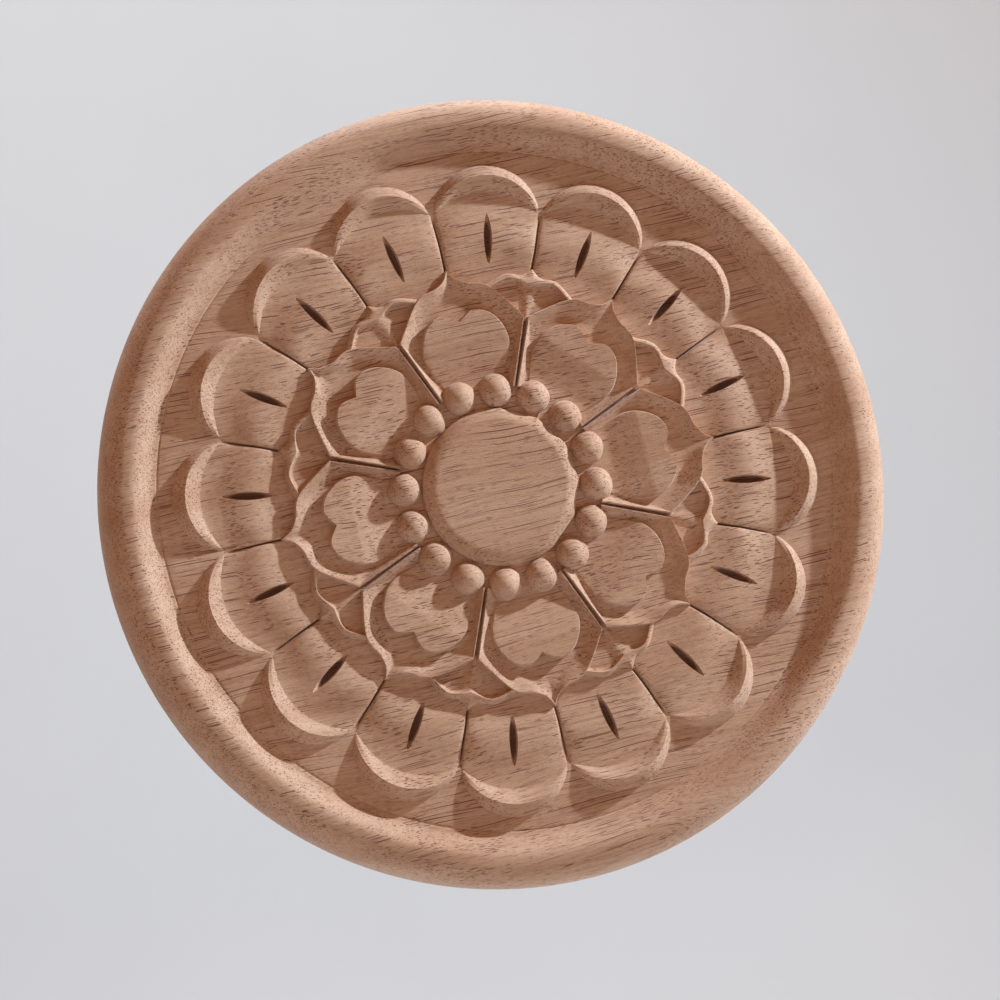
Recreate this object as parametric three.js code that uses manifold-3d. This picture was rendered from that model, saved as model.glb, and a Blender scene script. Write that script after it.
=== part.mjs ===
// Round carved wood onlay: one board with a rolled rim, a sunk floor and a many-petalled rosette.
// Millimetres. The back lies on the plane y = 0 with its centre at the origin, the carved face
// looks along -y and z is up. The carving is drawn flat, with x right, y up and z the height
// above the back, and the finished solid is stood upright at the end.
import * as THREE from 'three';
import { mergeVertices } from 'three/addons/utils/BufferGeometryUtils.js';
import Module from 'manifold-3d';

// Board and rim
const BOARD_RADIUS = 150;
const BOARD_THICKNESS = 19.5;
const BACK_CHAMFER = 1;
const SIDE_HEIGHT = 4;
const RIM_ROLL_WIDTH = 10.7;
const RIM_SLOPE_WIDTH = 10.3;
// The rim's outer curve is an ellipse made fuller, and its inner slope starts slowly at the crest
const RIM_FULLNESS = 2.3;
const RIM_SLOPE_POWER = 1.3;
const FLOOR_SINK = 6;

// Every rise and depth is measured from the sunk floor

// Ground under the flower, which shows only at the bottom of the cut grooves
const GROUND_DEPTH = 1.1;
const INNER_GROUND_RISE = 0.1;
const GROUND_SLOPE_WIDTH = 5;
// Every raised form starts inside the board: its walls run below the ground and its bottom is level
const ROOT_DEPTH = 0.3;
const BURIED_DEPTH = 3.5;

// Outer petals: a nearly level body, a hollow rising to a sharp crest and a rounded outer wall.
// A border of floor is left between them and the rim.
const OUTER_PETALS = 16;
const OUTER_INNER_END = 75;
const OUTER_BORDER_WIDTH = 5.4;
const OUTER_HOLLOW_WIDTH = 6.1;
const OUTER_WALL_WIDTH = 5.1;
const OUTER_WALL_POWER = 1.4;
const OUTER_LOBE_DEPTH = 11.1;
const OUTER_END_SPREAD = 0.15;
const OUTER_EDGE_RISE = 0.5;
const OUTER_BODY_RISE = 1.2;
const OUTER_CREST_RISE = 4.4;
const GROOVE_WIDTH = 1.9;
const GROOVE_BOTTOM_WIDTH = 0.3;

// Slit in the middle of each outer petal, measured from the petal's crest inward
const SLIT_CLEARANCE = 13.3;
const SLIT_LENGTH = 20.9;
const SLIT_WIDTH = 3.1;
const SLIT_DEPTH = 2.4;
const SLIT_OVERCUT = 1;

// Crest line of half an inner petal: x is the distance from its axis, y from the board's centre
const INNER_PETALS = 8;
const INNER_TIP_RADIUS = 84.2;
const INNER_WAIST = new THREE.Vector2(2.2, 80.5);
const INNER_NECK = new THREE.Vector2(6.2, 78);
const INNER_SHOULDER = new THREE.Vector2(14.4, 74.7);
const INNER_GAP_RADIUS = 65.6;
const INNER_END_MARGIN = 2;
const INNER_CREST_RISE = 3.3;
const INNER_TIP_RISE = 1.9;
const INNER_VALLEY_RISE = 0.5;
const INNER_WALL_WIDTH = 0.8;
const INNER_RAMP_SHARE = 0.6;
const WEDGE_WIDTH = 2;
const WEDGE_INNER_WIDTH = 1.2;

// Heart pad on each inner petal, in the same half-petal measures
const HEART_NOTCH_RADIUS = 63.9;
const HEART_LOBE = new THREE.Vector2(6.6, 67.4);
const HEART_SHOULDER = new THREE.Vector2(13.6, 63.2);
const HEART_SIDE = new THREE.Vector2(16.6, 53);
const HEART_END_HALF_WIDTH = 10.6;
const HEART_RISE = 3.5;
const HEART_END_RISE = 0.9;
const HEART_CREASE_RADIUS = 60;
const HEART_WALL_WIDTH = 0.5;

// Small leaves that fill the corners between the inner petals
const LEAF_TIP_RADIUS = 85;
const LEAF_DIP_RADIUS = 78.3;
const LEAF_LOBE = new THREE.Vector2(8.6, 79.7);
const LEAF_END = new THREE.Vector2(15.8, 74.4);
const LEAF_WALL_WIDTH = 1.7;
const LEAF_CREST_RISE = 2.8;
const LEAF_RIDGE_RISE = 1.3;
const LEAF_HOLLOW_RISE = 0.5;
const LEAF_RIDGE_HALF_WIDTH = 7;
const LEAF_BORDER_SHARE = 0.12;
const LEAF_ROOT_HALF_WIDTH = 1.6;
const LEAF_ROOT_RADIUS = 64;

// Beads on a raised ground round the centre button, which has a bevelled edge. The inner petals
// end a margin outside the middle of the beads.
const BEADS = 16;
const BEAD_CLEARANCE = 0.3;
const BEAD_RADIUS = 6.6;
const BEAD_CENTRE_DEPTH = 0.7;
const BEAD_GROUND_RISE = 0.9;
const BEAD_GROUND_MARGIN = 3;
const BUTTON_EDGE_RADIUS = 29.6;
const BUTTON_BEVEL_WIDTH = 5.6;
const BUTTON_TOP_RISE = 5.1;
const BUTTON_EDGE_RISE = 2.7;
const BUTTON_WALL_WIDTH = 0.8;

// Flats chipped into the button's edge on one side, beginning at an angle from +x
const BUTTON_FLATS = 5;
const BUTTON_FLATS_START = THREE.MathUtils.degToRad(-62);
const BUTTON_FLATS_END = THREE.MathUtils.degToRad(76);
const BUTTON_FLAT_DEPTH = 0.9;

// Facets
const ROUND_STEPS = 48;
const RIM_STEPS = 4;
const PETAL_STEPS = 8;
const WALL_STEPS = 2;
const HOLLOW_STEPS = 1;
const SPAN_STEPS = 2;
const SIDE_STEPS = 2;
const SLIT_STEPS = 4;
const BEAD_SIDES = 10;
const BEAD_RINGS = 3;
const FLAT_STEPS = 2;

// Radii and heights that follow from the sizes above
const RIM_CREST_RADIUS = BOARD_RADIUS - RIM_ROLL_WIDTH;
const RIM_FOOT_RADIUS = RIM_CREST_RADIUS - RIM_SLOPE_WIDTH;
const OUTER_CREST_RADIUS = RIM_FOOT_RADIUS - OUTER_BORDER_WIDTH - OUTER_WALL_WIDTH;
const BEAD_RING_RADIUS = BUTTON_EDGE_RADIUS + BEAD_CLEARANCE + BEAD_RADIUS;
const INNER_END_RADIUS = BEAD_RING_RADIUS + INNER_END_MARGIN;
const BUTTON_TOP_RADIUS = BUTTON_EDGE_RADIUS - BUTTON_BEVEL_WIDTH;
const FLOOR_HEIGHT = BOARD_THICKNESS - FLOOR_SINK;
const GROUND_HEIGHT = FLOOR_HEIGHT - GROUND_DEPTH;
const BURIED_HEIGHT = FLOOR_HEIGHT - BURIED_DEPTH;
const BEAD_CENTRE_HEIGHT = FLOOR_HEIGHT - BEAD_CENTRE_DEPTH;
const INNER_GROUND_HEIGHT = FLOOR_HEIGHT + INNER_GROUND_RISE;
const OUTER_EDGE_HEIGHT = FLOOR_HEIGHT + OUTER_EDGE_RISE;
const OUTER_BODY_HEIGHT = FLOOR_HEIGHT + OUTER_BODY_RISE;
const OUTER_CREST_HEIGHT = FLOOR_HEIGHT + OUTER_CREST_RISE;
const INNER_CREST_HEIGHT = FLOOR_HEIGHT + INNER_CREST_RISE;
const INNER_TIP_HEIGHT = FLOOR_HEIGHT + INNER_TIP_RISE;
const INNER_VALLEY_HEIGHT = FLOOR_HEIGHT + INNER_VALLEY_RISE;
const HEART_HEIGHT = FLOOR_HEIGHT + HEART_RISE;
const HEART_END_HEIGHT = FLOOR_HEIGHT + HEART_END_RISE;
const LEAF_CREST_HEIGHT = FLOOR_HEIGHT + LEAF_CREST_RISE;
const LEAF_RIDGE_HEIGHT = FLOOR_HEIGHT + LEAF_RIDGE_RISE;
const LEAF_HOLLOW_HEIGHT = FLOOR_HEIGHT + LEAF_HOLLOW_RISE;
const BEAD_GROUND_HEIGHT = FLOOR_HEIGHT + BEAD_GROUND_RISE;
const BUTTON_TOP_HEIGHT = FLOOR_HEIGHT + BUTTON_TOP_RISE;
const BUTTON_EDGE_HEIGHT = FLOOR_HEIGHT + BUTTON_EDGE_RISE;

const wasm = await Module();
wasm.setup();
const { Manifold, Mesh } = wasm;

function solidFrom(geometry) {
  const bare = geometry.clone();
  bare.deleteAttribute('normal');
  bare.deleteAttribute('uv');
  const welded = mergeVertices(bare, 1e-4);
  const index = Array.from(welded.index.array);
  const triVerts = [];
  for (let i = 0; i < index.length; i += 3) {
    const [a, b, c] = index.slice(i, i + 3);
    if (a !== b && b !== c && c !== a) triVerts.push(a, b, c);
  }
  return new Manifold(new Mesh({
    numProp: 3,
    vertProperties: new Float32Array(welded.attributes.position.array),
    triVerts: new Uint32Array(triVerts),
  }));
}

function geometryFrom(solid) {
  const { numProp, vertProperties, triVerts } = solid.getMesh();
  const positions = new Float32Array((vertProperties.length / numProp) * 3);
  for (let i = 0; i < positions.length / 3; i += 1) {
    positions.set(vertProperties.subarray(i * numProp, i * numProp + 3), i * 3);
  }
  const geometry = new THREE.BufferGeometry();
  geometry.setAttribute('position', new THREE.BufferAttribute(positions, 3));
  geometry.setIndex(new THREE.BufferAttribute(new Uint32Array(triVerts), 1));
  const faceted = geometry.toNonIndexed();
  faceted.computeVertexNormals();
  return faceted;
}

// Closed block under a grid of surface points. Rows run from the outer foot inward, and each
// holds one point for each station from left to right.
// A spine is a last row whose stations meet in pairs on the petal's own axis, so it has no wall.
function relief(rows, { spine = false } = {}) {
  const stations = rows[0].length;
  const positions = [];
  const corner = (row, station, buried) => {
    const point = rows[row][station];
    positions.push(point.x, point.y, buried ? BURIED_HEIGHT : point.z);
  };
  const quad = (a, b, c, d) => {
    [a, b, c, a, c, d].forEach(([row, station, buried]) => corner(row, station, buried));
  };
  for (let row = 0; row + 1 < rows.length; row += 1) {
    for (let station = 0; station + 1 < stations; station += 1) {
      quad([row, station], [row + 1, station], [row + 1, station + 1], [row, station + 1]);
      quad([row, station, true], [row, station + 1, true],
        [row + 1, station + 1, true], [row + 1, station, true]);
    }
  }
  const last = rows.length - 1;
  for (let station = 0; station + 1 < stations; station += 1) {
    quad([0, station], [0, station + 1], [0, station + 1, true], [0, station, true]);
    if (!spine) {
      quad([last, station + 1], [last, station], [last, station, true], [last, station + 1, true]);
    }
  }
  const end = stations - 1;
  for (let row = 0; row < last; row += 1) {
    quad([row + 1, 0], [row, 0], [row, 0, true], [row + 1, 0, true]);
    quad([row, end], [row + 1, end], [row + 1, end, true], [row, end, true]);
  }
  const geometry = new THREE.BufferGeometry();
  geometry.setAttribute('position', new THREE.Float32BufferAttribute(positions, 3));
  return geometry;
}

// Copies of one piece, drawn with its axis along +y, turned about the board's centre
function ring(geometry, count, firstTurn = 0) {
  const copies = [];
  for (let i = 0; i < count; i += 1) {
    copies.push(geometry.clone().rotateZ(firstTurn + (i * 2 * Math.PI) / count));
  }
  return copies;
}

function polar(radius, angle) {
  return new THREE.Vector2(radius * Math.sin(angle), radius * Math.cos(angle));
}

// Point on a line beside the ray at an angle from +y, at a clearance on the side toward +y
function besideRay(radius, angle, clearance) {
  const point = polar(radius, angle);
  return new THREE.Vector2(
    point.x - clearance * Math.cos(angle),
    point.y + clearance * Math.sin(angle),
  );
}

// Arc through an end point, the axis at a mid radius, and the mirrored end, for u from -1 to 1
function arcAcross(end, middle, u) {
  const rise = middle - end.y;
  const radius = (end.x * end.x + rise * rise) / (2 * rise);
  const turn = 2 * Math.atan2(rise, end.x) * u;
  return new THREE.Vector2(radius * Math.sin(turn), middle - radius + radius * Math.cos(turn));
}

// Points of a smooth curve through a few named ones, with some steps for each span
function smooth(points, steps) {
  return new THREE.SplineCurve(points).getPoints(steps);
}

function mirrored(points) {
  const left = points.slice(1).reverse().map((point) => new THREE.Vector2(-point.x, point.y));
  return [...left, ...points];
}

// Outline moved sideways: a positive distance goes outward, away from the petal's middle
function offset(points, distance) {
  return points.map((point, i) => {
    const before = points[Math.max(i - 1, 0)];
    const after = points[Math.min(i + 1, points.length - 1)];
    const along = after.clone().sub(before).normalize();
    return new THREE.Vector2(point.x - along.y * distance, point.y + along.x * distance);
  });
}

function raised(points, height) {
  return points.map((point, i) => {
    const z = typeof height === 'function' ? height(point, i) : height;
    return new THREE.Vector3(point.x, point.y, z);
  });
}

function board() {
  const profile = [
    [0, 0],
    [BOARD_RADIUS - BACK_CHAMFER, 0],
    [BOARD_RADIUS, BACK_CHAMFER],
  ];
  const rollWidth = BOARD_RADIUS - RIM_CREST_RADIUS;
  const rollHeight = BOARD_THICKNESS - SIDE_HEIGHT;
  for (let i = 0; i <= RIM_STEPS; i += 1) {
    const turn = (i / RIM_STEPS) * (Math.PI / 2);
    profile.push([
      RIM_CREST_RADIUS + rollWidth * Math.cos(turn) ** (2 / RIM_FULLNESS),
      SIDE_HEIGHT + rollHeight * Math.sin(turn) ** (2 / RIM_FULLNESS),
    ]);
  }
  const slopeWidth = RIM_CREST_RADIUS - RIM_FOOT_RADIUS;
  for (let i = 1; i <= RIM_STEPS; i += 1) {
    const share = i / RIM_STEPS;
    const fall = ((1 - Math.cos(Math.PI * share)) / 2) ** RIM_SLOPE_POWER;
    profile.push([
      RIM_CREST_RADIUS - slopeWidth * share,
      BOARD_THICKNESS - (BOARD_THICKNESS - FLOOR_HEIGHT) * fall,
    ]);
  }
  const beadGround = BEAD_RING_RADIUS + BEAD_GROUND_MARGIN;
  const lobeStart = OUTER_CREST_RADIUS - OUTER_LOBE_DEPTH;
  profile.push(
    [lobeStart, FLOOR_HEIGHT],
    [lobeStart - GROUND_SLOPE_WIDTH, GROUND_HEIGHT],
    [INNER_GAP_RADIUS + ROOT_DEPTH, GROUND_HEIGHT],
    [INNER_GAP_RADIUS, INNER_GROUND_HEIGHT],
    [beadGround + ROOT_DEPTH, INNER_GROUND_HEIGHT],
    [beadGround, BEAD_GROUND_HEIGHT],
    [0, BEAD_GROUND_HEIGHT],
  );
  const outline = profile.map(([radius, height]) => new THREE.Vector2(radius, height));
  return new THREE.LatheGeometry(outline, ROUND_STEPS).rotateX(Math.PI / 2);
}

function outerPetal() {
  const halfAngle = Math.PI / OUTER_PETALS;
  const rows = [{ end: OUTER_INNER_END, middle: OUTER_INNER_END, height: OUTER_BODY_HEIGHT }];
  const addRow = (beyondCrest, height) => {
    const end = OUTER_CREST_RADIUS - OUTER_LOBE_DEPTH + beyondCrest * OUTER_END_SPREAD;
    rows.push({ end, middle: OUTER_CREST_RADIUS + beyondCrest, height });
  };
  const hollowDepth = OUTER_CREST_HEIGHT - OUTER_BODY_HEIGHT;
  for (let i = 0; i <= HOLLOW_STEPS; i += 1) {
    const share = i / HOLLOW_STEPS;
    addRow(OUTER_HOLLOW_WIDTH * (share - 1), OUTER_BODY_HEIGHT + hollowDepth * share);
  }
  const wallFoot = FLOOR_HEIGHT - ROOT_DEPTH;
  for (let i = 1; i <= WALL_STEPS; i += 1) {
    const share = i / WALL_STEPS;
    const rise = (OUTER_CREST_HEIGHT - wallFoot) * (1 - share ** OUTER_WALL_POWER);
    addRow(OUTER_WALL_WIDTH * share, wallFoot + rise);
  }
  const surface = rows.map((row, r) => {
    const edgeHeight = r === rows.length - 1 ? wallFoot : OUTER_EDGE_HEIGHT;
    const edge = besideRay(row.end, halfAngle, GROOVE_WIDTH / 2);
    const bottom = besideRay(row.end, halfAngle, GROOVE_BOTTOM_WIDTH / 2);
    const points = [new THREE.Vector3(-bottom.x, bottom.y, GROUND_HEIGHT - ROOT_DEPTH)];
    for (let i = 0; i <= PETAL_STEPS; i += 1) {
      const u = (2 * i) / PETAL_STEPS - 1;
      const spot = arcAcross(edge, row.middle, u);
      const height = edgeHeight + (row.height - edgeHeight) * (1 - u * u);
      points.push(new THREE.Vector3(spot.x, spot.y, height));
    }
    points.push(new THREE.Vector3(bottom.x, bottom.y, GROUND_HEIGHT - ROOT_DEPTH));
    return points;
  });
  return relief(surface.reverse());
}

// Pointed V cut, widest and deepest in its middle
function slit() {
  const halfLength = SLIT_LENGTH / 2;
  const middle = OUTER_CREST_RADIUS - SLIT_CLEARANCE - halfLength;
  const flare = SLIT_WIDTH / 2 / SLIT_DEPTH;
  const top = OUTER_BODY_HEIGHT + SLIT_OVERCUT;
  const sections = [];
  for (let i = 0; i <= SLIT_STEPS; i += 1) {
    const u = (2 * i) / SLIT_STEPS - 1;
    const depth = SLIT_DEPTH * (1 - u * u);
    const y = middle + halfLength * u;
    const halfWidth = flare * (depth + SLIT_OVERCUT);
    sections.push([
      new THREE.Vector3(-halfWidth, y, top),
      new THREE.Vector3(0, y, OUTER_BODY_HEIGHT - depth),
      new THREE.Vector3(halfWidth, y, top),
    ]);
  }
  const positions = [];
  const triangle = (...corners) => corners.forEach(({ x, y, z }) => positions.push(x, y, z));
  for (let i = 0; i < SLIT_STEPS; i += 1) {
    for (let side = 0; side < 3; side += 1) {
      const [a, b] = [sections[i][side], sections[i][(side + 1) % 3]];
      const [c, d] = [sections[i + 1][(side + 1) % 3], sections[i + 1][side]];
      triangle(a, c, b);
      triangle(a, d, c);
    }
  }
  triangle(...sections[0]);
  triangle(...sections[SLIT_STEPS].toReversed());
  const geometry = new THREE.BufferGeometry();
  geometry.setAttribute('position', new THREE.Float32BufferAttribute(positions, 3));
  return geometry;
}

// Crest line of an inner petal from its tip round the shoulder and down beside the wedge groove
function innerOutline() {
  const halfAngle = Math.PI / INNER_PETALS;
  const tip = new THREE.Vector2(0, INNER_TIP_RADIUS);
  const gap = besideRay(INNER_GAP_RADIUS, halfAngle, WEDGE_WIDTH / 2);
  const end = besideRay(INNER_END_RADIUS, halfAngle, WEDGE_INNER_WIDTH / 2);
  const round = [tip, INNER_WAIST, INNER_NECK, INNER_SHOULDER, gap];
  const outline = smooth(round, SPAN_STEPS * (round.length - 1));
  for (let i = 1; i <= SIDE_STEPS; i += 1) {
    outline.push(gap.clone().lerp(end, i / SIDE_STEPS));
  }
  return outline;
}

// Edge of the heart pad from its notch round the lobe to its end under the beads
function heartOutline(steps) {
  const notch = new THREE.Vector2(0, HEART_NOTCH_RADIUS);
  const end = new THREE.Vector2(HEART_END_HALF_WIDTH, INNER_END_RADIUS);
  return smooth([notch, HEART_LOBE, HEART_SHOULDER, HEART_SIDE, end], steps);
}

function innerPetal() {
  const crest = innerOutline();
  const heart = heartOutline(crest.length - 1);
  const heartHeight = (point) => {
    const fall = (HEART_CREASE_RADIUS - point.y) / (HEART_CREASE_RADIUS - INNER_END_RADIUS);
    return HEART_HEIGHT - (HEART_HEIGHT - HEART_END_HEIGHT) * Math.max(fall, 0);
  };
  const crestHeight = (point, i) => {
    const stepsFromTip = Math.abs(i - (crest.length - 1));
    const share = Math.min(stepsFromTip / (2 * SPAN_STEPS), 1);
    return INNER_TIP_HEIGHT + (INNER_CREST_HEIGHT - INNER_TIP_HEIGHT) * share;
  };
  const full = mirrored(crest);
  const pad = mirrored(heart);
  const padFoot = offset(pad, HEART_WALL_WIDTH);
  const crease = full.map((point, i) => point.clone().lerp(padFoot[i], INNER_RAMP_SHARE));
  const spine = pad.map((point) => new THREE.Vector2(0, Math.min(point.y, HEART_NOTCH_RADIUS)));
  const rows = [
    raised(offset(full, INNER_WALL_WIDTH), GROUND_HEIGHT - ROOT_DEPTH),
    raised(full, crestHeight),
    raised(crease, INNER_VALLEY_HEIGHT),
    raised(padFoot, INNER_VALLEY_HEIGHT),
    raised(pad, heartHeight),
    raised(spine, heartHeight),
  ];
  return relief(rows, { spine: true });
}

function leaf() {
  const dip = new THREE.Vector2(0, LEAF_DIP_RADIUS);
  const crest = mirrored(smooth([dip, LEAF_LOBE, LEAF_END], SPAN_STEPS * 2));
  const foot = offset(crest, LEAF_WALL_WIDTH);
  foot[(foot.length - 1) / 2].y = LEAF_TIP_RADIUS;
  const root = crest.map((point) => (
    new THREE.Vector2((point.x / LEAF_END.x) * LEAF_ROOT_HALF_WIDTH, LEAF_ROOT_RADIUS)
  ));
  const border = crest.map((point, i) => point.clone().lerp(root[i], LEAF_BORDER_SHARE));
  const roof = (point, i) => {
    const across = Math.min(Math.abs(crest[i].x) / LEAF_RIDGE_HALF_WIDTH, 1);
    return LEAF_RIDGE_HEIGHT + (LEAF_HOLLOW_HEIGHT - LEAF_RIDGE_HEIGHT) * across;
  };
  return relief([
    raised(foot, GROUND_HEIGHT - ROOT_DEPTH),
    raised(crest, LEAF_CREST_HEIGHT),
    raised(border, roof),
    raised(root, roof),
  ]);
}

// Half ball on a short root
function bead() {
  const root = GROUND_HEIGHT - ROOT_DEPTH - BEAD_CENTRE_HEIGHT;
  const profile = [new THREE.Vector2(0, root), new THREE.Vector2(BEAD_RADIUS, root)];
  for (let i = 0; i < BEAD_RINGS; i += 1) {
    const turn = (i / BEAD_RINGS) * (Math.PI / 2);
    profile.push(new THREE.Vector2(BEAD_RADIUS * Math.cos(turn), BEAD_RADIUS * Math.sin(turn)));
  }
  profile.push(new THREE.Vector2(0, BEAD_RADIUS));
  return new THREE.LatheGeometry(profile, BEAD_SIDES)
    .rotateX(Math.PI / 2)
    .translate(0, BEAD_RING_RADIUS, BEAD_CENTRE_HEIGHT);
}

// Flat disc with a bevelled edge, round but for a few flats chipped into one side
function button() {
  const span = BUTTON_FLATS_END - BUTTON_FLATS_START;
  const flatSteps = BUTTON_FLATS * FLAT_STEPS;
  const roundSteps = Math.ceil(((2 * Math.PI - span) / span) * flatSteps);
  const edge = [];
  for (let i = 0; i < flatSteps; i += 1) {
    const across = ((2 * i) / FLAT_STEPS) % 2 - 1;
    edge.push({
      angle: BUTTON_FLATS_START + (i / flatSteps) * span,
      cut: BUTTON_FLAT_DEPTH * (1 - across * across),
    });
  }
  for (let i = 0; i < roundSteps; i += 1) {
    edge.push({ angle: BUTTON_FLATS_END + (i / roundSteps) * (2 * Math.PI - span), cut: 0 });
  }
  edge.push(edge[0]);
  const loop = (radius, height, cutShare = 0) => edge.map(({ angle, cut }) => {
    const reach = radius - cut * cutShare;
    return new THREE.Vector3(reach * Math.cos(angle), reach * Math.sin(angle), height);
  });
  const rows = [
    loop(0, GROUND_HEIGHT),
    loop(BUTTON_EDGE_RADIUS + BUTTON_WALL_WIDTH, GROUND_HEIGHT, 1),
    loop(BUTTON_EDGE_RADIUS, BUTTON_EDGE_HEIGHT, 1),
    loop(BUTTON_TOP_RADIUS, BUTTON_TOP_HEIGHT),
    loop(0, BUTTON_TOP_HEIGHT),
  ];
  const positions = [];
  for (let row = 0; row + 1 < rows.length; row += 1) {
    for (let i = 0; i + 1 < edge.length; i += 1) {
      const [a, b] = [rows[row][i], rows[row][i + 1]];
      const [c, d] = [rows[row + 1][i + 1], rows[row + 1][i]];
      [a, b, c, a, c, d].forEach(({ x, y, z }) => positions.push(x, y, z));
    }
  }
  const geometry = new THREE.BufferGeometry();
  geometry.setAttribute('position', new THREE.Float32BufferAttribute(positions, 3));
  return geometry;
}

const outerTurn = Math.PI / OUTER_PETALS;
const innerTurn = Math.PI / INNER_PETALS;
const beadTurn = Math.PI / BEADS;

const raisedPieces = [
  ...ring(outerPetal(), OUTER_PETALS, outerTurn),
  ...ring(leaf(), INNER_PETALS, innerTurn),
  ...ring(innerPetal(), INNER_PETALS),
  ...ring(bead(), BEADS, beadTurn),
  button(),
];
let carving = solidFrom(board());
raisedPieces.forEach((piece) => {
  carving = carving.add(solidFrom(piece));
});
ring(slit(), OUTER_PETALS, outerTurn).forEach((cut) => {
  carving = carving.subtract(solidFrom(cut));
});

const wood = new THREE.MeshStandardMaterial({ color: 0xc39a78, roughness: 0.8, metalness: 0 });
const onlay = new THREE.Mesh(geometryFrom(carving).rotateX(Math.PI / 2), wood);
onlay.name = 'carved_onlay';

const part = new THREE.Group();
part.add(onlay);

export default part;
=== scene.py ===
"""Looks of a round carved wood onlay: one board with a rolled rim and a many-petalled rosette.

The carving is drawn flat in millimetres, with x right, y up and z the height above the back, and
the finished mesh is stood upright in metres: its back on the plane y = 0, its face toward -y.
"""
import math

import bpy
import numpy as np
from mathutils import Matrix, Vector, noise


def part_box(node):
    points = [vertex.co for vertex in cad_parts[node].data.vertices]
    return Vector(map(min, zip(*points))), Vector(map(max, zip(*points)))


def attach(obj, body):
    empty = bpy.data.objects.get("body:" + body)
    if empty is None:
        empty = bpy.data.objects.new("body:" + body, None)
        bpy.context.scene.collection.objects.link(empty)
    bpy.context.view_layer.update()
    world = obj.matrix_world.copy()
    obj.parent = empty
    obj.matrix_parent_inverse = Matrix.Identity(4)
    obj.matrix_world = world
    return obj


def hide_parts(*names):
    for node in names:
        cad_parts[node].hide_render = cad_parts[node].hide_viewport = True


NODE = "carved_onlay"
MM = 0.001

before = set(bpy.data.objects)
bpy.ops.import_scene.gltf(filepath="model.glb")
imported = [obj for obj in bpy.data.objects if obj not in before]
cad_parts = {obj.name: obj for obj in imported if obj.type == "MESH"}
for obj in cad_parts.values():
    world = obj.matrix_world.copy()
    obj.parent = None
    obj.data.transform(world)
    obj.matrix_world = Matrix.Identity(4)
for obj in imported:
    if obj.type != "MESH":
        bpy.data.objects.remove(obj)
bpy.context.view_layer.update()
node_low, node_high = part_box(NODE)

# Board and rim
BOARD_RADIUS = (node_high.x - node_low.x) / 2 / MM
BOARD_THICKNESS = (node_high.y - node_low.y) / MM
BACK_ROUND = 1.0
SIDE_HEIGHT = 4.0
RIM_CREST_RADIUS = 139.3
RIM_FOOT_RADIUS = 129.0
RIM_FULLNESS = 2.3
RIM_SLOPE_POWER = 1.3
FOOT_GROOVE_WIDTH = 1.3
FOOT_GROOVE_DEPTH = 0.35
FOOT_GROOVE_MIDDLE_SHARE = 0.35
RIM_SPREAD = 6.0
RIM_SPREAD_MIDDLE = math.radians(108)
RIM_SPREAD_REACH = math.radians(10)
FLOOR_HEIGHT = 13.5
GROUND_HEIGHT = 12.4
INNER_GROUND_HEIGHT = 13.6
GROUND_SLOPE_WIDTH = 5.0
ROOT_DEPTH = 0.3
BURIED_HEIGHT = 10.0

# Outer petals
OUTER_PETALS = 16
OUTER_INNER_END = 75.0
OUTER_CREST_RADIUS = 118.5
OUTER_HOLLOW_WIDTH = 6.1
OUTER_WALL_WIDTH = 5.1
OUTER_WALL_POWER = 1.4
OUTER_LOBE_DEPTH = 11.1
HOLLOW_POWER = 1.15
OUTER_END_SPREAD = 0.15
OUTER_EDGE_HEIGHT = 14.2
OUTER_BODY_HEIGHT = 14.7
OUTER_CREST_HEIGHT = 17.9
BODY_SWELL = 0.75
BODY_SWELL_RADIUS = 95.5
BODY_SWELL_REACH = 13.0
BODY_FLATNESS = 6.0
CREST_FLATNESS = 2.0
GROOVE_WIDTH = 1.9
GROOVE_BOTTOM_WIDTH = 0.3
GROOVE_SHOULDER_WIDTH = 0.9
GROOVE_SHOULDER_DROP = 0.45

# Slits in the outer petals
SLIT_CLEARANCE = 13.3
SLIT_LENGTH = 20.9
SLIT_WIDTH = 3.0
SLIT_DEPTH = 3.6
SLIT_OVERCUT = 1.0
SLIT_WALL_SHARE = 0.75

# Inner petals: x is the distance from the petal's axis, y from the board's centre
INNER_PETALS = 8
INNER_TIP_RADIUS = 84.2
INNER_WAIST = (2.2, 80.5)
INNER_NECK = (6.2, 78.0)
INNER_SHOULDER = (14.4, 74.7)
INNER_GAP_RADIUS = 65.6
INNER_END_RADIUS = 38.5
INNER_CREST_HEIGHT = 16.8
INNER_TIP_HEIGHT = 15.4
INNER_VALLEY_HEIGHT = 14.0
INNER_WALL_WIDTH = 0.8
INNER_LIP_WIDTH = 0.45
INNER_EDGE_DROP = 0.5
INNER_EDGE_WIDTH_SHARE = 0.2
INNER_TIP_SHARE = 0.4
INNER_RAMP_SHARE = 0.75
INNER_RAMP_POWER = 1.4
WEDGE_WIDTH = 2.0
WEDGE_INNER_WIDTH = 1.2

# Heart pads
HEART_NOTCH_RADIUS = 63.9
HEART_LOBE = (6.6, 67.4)
HEART_SHOULDER = (13.6, 63.2)
HEART_SIDE = (16.6, 53.0)
HEART_END_HALF_WIDTH = 10.6
HEART_HEIGHT = 16.8
HEART_END_HEIGHT = 14.25
HEART_BEND_RADIUS = 57.0
HEART_OUTER_SLOPE = 0.05
HEART_INNER_SLOPE = 0.19
HEART_WALL_WIDTH = 0.5
HEART_EDGE_ROUND = 0.2
HEART_EDGE_SHARE = 0.02

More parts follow.
